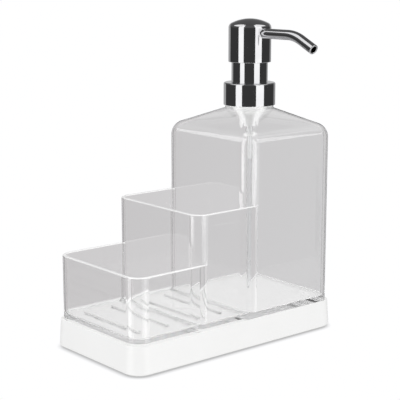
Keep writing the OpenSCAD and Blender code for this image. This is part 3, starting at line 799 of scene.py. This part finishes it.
def make_spring():
    """The spring under the piston, which shortens as the head is pressed; this coil is built at one length
    and rides on the pump body.
    """
    low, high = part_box("return_spring")
    foot, top = low[2] / MM, high[2] / MM
    wire_r, mean_r, turns, per_turn, sides = 0.4, 5.0, 7, 48, 12
    count = turns * per_turn
    loops = []
    for i in range(count + 1):
        a = 2 * math.pi * i / per_turn
        middle = foot + wire_r + (top - foot - 2 * wire_r) * i / count
        loop = []
        for k in range(sides):
            b = 2 * math.pi * k / sides
            r = mean_r + wire_r * math.cos(b)
            loop.append((PUMP_X + r * math.cos(a), r * math.sin(a), middle + wire_r * math.sin(b)))
        loops.append(loop)
    spring = loft("coil_spring", loops)
    finish_piece(spring, STEEL, "pump_body", "steel", "return_spring", sharp=60, weighted=False)
    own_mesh(spring)


def make_ball(name, node, body):
    """One of the two steel balls of the pump's valves."""
    low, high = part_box(node)
    bm = bmesh.new()
    bmesh.ops.create_icosphere(bm, subdivisions=4, radius=(high[0] - low[0]) / 2 / MM)
    bmesh.ops.translate(bm, verts=bm.verts, vec=(PUMP_X, 0, (low[2] + high[2]) / 2 / MM))
    ball = new_object(name, [], [])
    bm.to_mesh(ball.data)
    bm.free()
    finish_piece(ball, STEEL, body, "steel", node, sharp=60, weighted=False)


make_base()
clear = make_clear()
closure = make_closure()
collar = make_collar()
make_head()
make_spout()
make_spring()
make_ball("inlet_valve_ball", "inlet_ball", "inlet_valve")
make_ball("outlet_valve_ball", "outlet_ball", "outlet_valve")

# CAD nodes that stay as they are, with their materials
FINISHES = {"non_slip_pad": SOFT_PAD, "closure_insert": WHITE_PLASTIC, "neck_gasket": SEAL,
            "pump_housing": HOUSING, "barrel_cap": WHITE_PLASTIC, "dip_tube": NATURAL,
            "pump_stem": WHITE_PLASTIC, "piston_seal": SEAL,
            "head_core": WHITE_PLASTIC}
for node, mat in FINISHES.items():
    mesh = NODES[node].data
    mesh.materials.clear()
    mesh.materials.append(mat)

# The clear moulding casts no shadow, and diffuse rays pass it and the four pieces below as if they
# weren't there
clear.visible_shadow = False
clear.visible_diffuse = False
for piece in (closure, collar, NODES["closure_insert"], NODES["dip_tube"]):
    piece.visible_diffuse = False

# Stage, light and camera

YAW, PITCH, FOCAL = math.radians(49.906), math.radians(11.362), 1167.01
EYE = (-0.44919, -0.53565, 0.22624)
SENSOR, PICTURE = 36, 400            # width of the sensor in mm, and of the picture in pixels
CLIP = (0.02, 60)

# Grey tones that mirrored rays meet, from straight below to straight above: in general, and in the
# zone behind the object as the camera sees it
GLOSSY_STOPS = [(0.0, 0.5), (0.24, 0.5), (0.34, 0.06), (0.5, 0.05), (0.6, 0.09), (0.75, 0.13), (1.0, 0.10)]
BEHIND_STOPS = [(0.0, 0.5), (0.35, 0.45), (0.55, 0.6), (0.6, 0.45), (0.68, 0.16), (0.8, 0.12), (1.0, 0.10)]
BEHIND_ZONE = (0.6, 0.9)

# Tones that rays meet after the clear plastic, and where their zones begin and are full: lean is how
# far a direction points to the right of the camera's, turn how far ahead and rise how far up
THROUGH_LEFT = (0.62, 0.607, 0.614)
THROUGH_RIGHT = (0.655, 0.65, 0.657)
LEFT_TO_RIGHT = (-0.12, 0.12)
DARK_FROM, DARK_TO, DARK_AHEAD, DARK_UNDER = (0.45, 0.47), (0.555, 0.535), (0.0, 0.2), (0.25, 0.1)
DARK_TONE = 0.04
BACK_ZONE, BACK_TONE = (-0.1, -0.3), 0.66
HIGH_ZONE, HIGH_TONE = (0.45, 0.75), 1.15
LOW_ZONE, LOW_TONE = (-0.4, -0.6), 0.9

DIFFUSE_SKY, DIFFUSE_FLOOR = (1.08, 1.08, 1.08), (1.02, 1.02, 1.02)
WHITE = (1, 1, 1)
PUMP_AXIS, NEAR_CORNER = (0.042, 0.0), (0.0154, -0.0303)

# Upright soft lights: name, angles from and to, distance, bottom, top and strength. Those that show
# only through the plastic add that kind of ray, their centre, and a strength for their lower part.
CARDS = [
    ("card_left", -64, -35, 0.5, -0.4, 0.9, 1.45),
    ("card_right", 27, 64, 0.5, -0.4, 0.9, 1.45),
    ("card_left_high", -115, -50, 0.45, 0.45, 1.6, 1.2),
    ("card_right_high", 40, 105, 0.45, 0.45, 1.6, 1.2),
    ("card_back_left", -180, -131, 0.7, -0.4, 0.2, 0.5),
    ("card_back_right", 150, 180, 0.7, -0.4, 0.2, 0.3),
    ("bar_left", -91, -60, 0.5, -0.5, 0.9, 6.0, "transmission", NEAR_CORNER, 2.6),
    ("bar_right", 18, 60, 0.5, -0.5, 0.9, 6.0, "transmission", NEAR_CORNER, 2.6),
    ("edge_left", -118, -96, 0.22, 0.18, 0.34, 4.2, "transmission", NEAR_CORNER),
    ("edge_right", 78, 98, 0.22, 0.18, 0.38, 4.2, "transmission", NEAR_CORNER),
]


def emission(name, strength):
    """A white light of its own strength, whatever shines on it."""
    mat = bpy.data.materials.new(name)
    mat.use_nodes = True
    tree = mat.node_tree
    tree.nodes.clear()
    out = tree.nodes.new("ShaderNodeOutputMaterial")
    node = tree.nodes.new("ShaderNodeEmission")
    node.inputs["Color"].default_value = (1, 1, 1, 1)
    node.inputs["Strength"].default_value = strength
    tree.links.new(node.outputs["Emission"], out.inputs["Surface"])
    return mat


def ray_tones(tree, diffuse, *tones):
    """A tone for diffuse rays, and one for each other kind of ray named, mixed in one chain."""
    n = Nodes(tree)
    path = tree.nodes.new("ShaderNodeLightPath")
    value = diffuse
    for flag, tone in tones:
        value = n.mix(path.outputs[flag], value, tone)
    return value


def make_world():
    """A bright tent to the eye. Mirrored rays and rays through the plastic meet a darker room."""
    world = bpy.data.worlds.new("world")
    bpy.context.scene.world = world
    world.use_nodes = True
    tree = world.node_tree
    n = Nodes(tree)
    way = tree.nodes.new("ShaderNodeTexCoord").outputs["Generated"]
    ahead = n.dot(way, (math.cos(YAW), math.sin(YAW), 0))
    across = n.dot(way, (math.sin(YAW), -math.cos(YAW), 0))
    rise = n.dot(way, (0, 0, 1))
    flat = n.math("SUBTRACT", 1.0, n.math("MULTIPLY", rise, rise))
    flat = n.math("SQRT", n.math("MAXIMUM", flat, 0.0001))
    turn = n.math("DIVIDE", ahead, flat)
    lean = n.math("DIVIDE", across, flat)
    place = n.math("ADD", n.math("MULTIPLY", rise, 0.5), 0.5)
    glossy = n.mix(n.step(turn, *BEHIND_ZONE), n.ramp(place, GLOSSY_STOPS), n.ramp(place, BEHIND_STOPS))
    through = n.mix(n.step(lean, *LEFT_TO_RIGHT), THROUGH_LEFT, THROUGH_RIGHT)
    # a narrow dark zone on each side, which draws the edges of the bottle
    aside = n.math("ABSOLUTE", lean)
    dark = n.math("MULTIPLY", n.step(aside, *DARK_FROM), n.step(aside, *DARK_TO))
    dark = n.math("MULTIPLY", dark, n.step(turn, *DARK_AHEAD))
    dark = n.math("MULTIPLY", dark, n.step(rise, *DARK_UNDER))
    through = n.mix(dark, through, DARK_TONE)
    for value, zone, tone in ((turn, BACK_ZONE, BACK_TONE), (rise, HIGH_ZONE, HIGH_TONE),
                              (rise, LOW_ZONE, LOW_TONE)):
        through = n.mix(n.step(value, *zone), through, tone)
    tones = ray_tones(tree, DIFFUSE_SKY, ("Is Glossy Ray", glossy), ("Is Transmission Ray", through),
                      ("Is Camera Ray", WHITE))
    tree.links.new(tones, tree.nodes["Background"].inputs["Color"])
    world.cycles.sampling_method = "NONE"


def make_floor():
    """The table: white to the eye, with a thin line of shade where the base meets it."""
    size, z, shade_reach = 6.0, -0.0002, 0.005
    shade_stops = [(0.0, 0.42), (0.8, 1.0)]
    obj = new_object("floor", [(-size, -size, z), (size, -size, z), (size, size, z), (-size, size, z)],
                     [(0, 1, 2, 3)])
    mat = emission("floor", 1.0)
    tree = mat.node_tree
    n = Nodes(tree)
    ao = tree.nodes.new("ShaderNodeAmbientOcclusion")
    ao.inputs["Distance"].default_value = shade_reach
    ao.samples = 16
    tones = ray_tones(tree, DIFFUSE_FLOOR, ("Is Camera Ray", n.ramp(ao.outputs["AO"], shade_stops)))
    tree.links.new(tones, tree.nodes["Emission"].inputs["Color"])
    mat.cycles.emission_sampling = "NONE"
    obj.data.materials.append(mat)
    obj.visible_glossy = False
    obj.visible_transmission = False


def seen_in_first_wall(mat):
    """Lets a light show where a wall mirrors it, but not where the eye looks through two walls at it."""
    two_walls = 3.5                      # each wall has two faces
    tree = mat.node_tree
    path = tree.nodes.new("ShaderNodeLightPath")
    clear_way = tree.nodes.new("ShaderNodeBsdfTransparent")
    mix = tree.nodes.new("ShaderNodeMixShader")
    past = Nodes(tree).math("GREATER_THAN", path.outputs["Transmission Depth"], two_walls)
    tree.links.new(past, mix.inputs["Fac"])
    tree.links.new(tree.nodes["Emission"].outputs["Emission"], mix.inputs[1])
    tree.links.new(clear_way.outputs["BSDF"], mix.inputs[2])
    tree.links.new(mix.outputs["Shader"], tree.nodes["Material Output"].inputs["Surface"])


def card(name, start, end, distance, bottom, top, strength, seen_by="glossy", centre=PUMP_AXIS,
         low=None):
    """An upright soft light between two angles, counted from the camera's side to the right.
    Where low is given, it is the strength of the part of the light below the floor."""
    back = Vector((-math.cos(YAW), -math.sin(YAW), 0))
    right = Vector((math.sin(YAW), -math.cos(YAW), 0))
    steps, points, low_zone = 8, [], (-0.06, 0.0)
    for k in range(steps + 1):
        a = math.radians(start + (end - start) * k / steps)
        out = Vector((centre[0], centre[1], 0)) + (back * math.cos(a) + right * math.sin(a)) * distance
        points += [(out.x, out.y, bottom), (out.x, out.y, top)]
    obj = new_object(name, points, [(2 * k, 2 * k + 2, 2 * k + 3, 2 * k + 1) for k in range(steps)])
    mat = emission(name, strength)
    if low is not None:
        n = Nodes(mat.node_tree)
        height = n.dot(mat.node_tree.nodes.new("ShaderNodeTexCoord").outputs["Object"], (0, 0, 1))
        share = n.step(height, *low_zone)
        mat.node_tree.links.new(n.math("ADD", low, n.math("MULTIPLY", share, strength - low)),
                                mat.node_tree.nodes["Emission"].inputs["Strength"])
    if seen_by == "transmission":
        seen_in_first_wall(mat)
    mat.cycles.emission_sampling = "NONE"
    obj.data.materials.append(mat)
    obj.visible_camera = False
    obj.visible_diffuse = False
    obj.visible_shadow = False
    obj.visible_glossy = seen_by == "glossy"
    obj.visible_transmission = seen_by == "transmission"


def make_camera():
    data = bpy.data.cameras.new("camera")
    data.sensor_width = SENSOR
    data.lens = FOCAL * SENSOR / PICTURE
    data.clip_start, data.clip_end = CLIP
    cam = bpy.data.objects.new("camera", data)
    bpy.context.scene.collection.objects.link(cam)
    look = Vector((math.cos(YAW) * math.cos(PITCH), math.sin(YAW) * math.cos(PITCH), -math.sin(PITCH)))
    cam.location = EYE
    cam.rotation_mode = "QUATERNION"
    cam.rotation_quaternion = look.to_track_quat("-Z", "Y")
    bpy.context.scene.camera = cam


make_world()
make_floor()
for values in CARDS:
    card(*values)
make_camera()

scene = bpy.context.scene
scene.view_settings.view_transform = "Standard"
scene.view_settings.look = "None"
scene.cycles.max_bounces = 32
scene.cycles.transmission_bounces = 24
scene.cycles.glossy_bounces = 12
scene.cycles.transparent_max_bounces = 24
scene.cycles.sample_clamp_indirect = 8.0
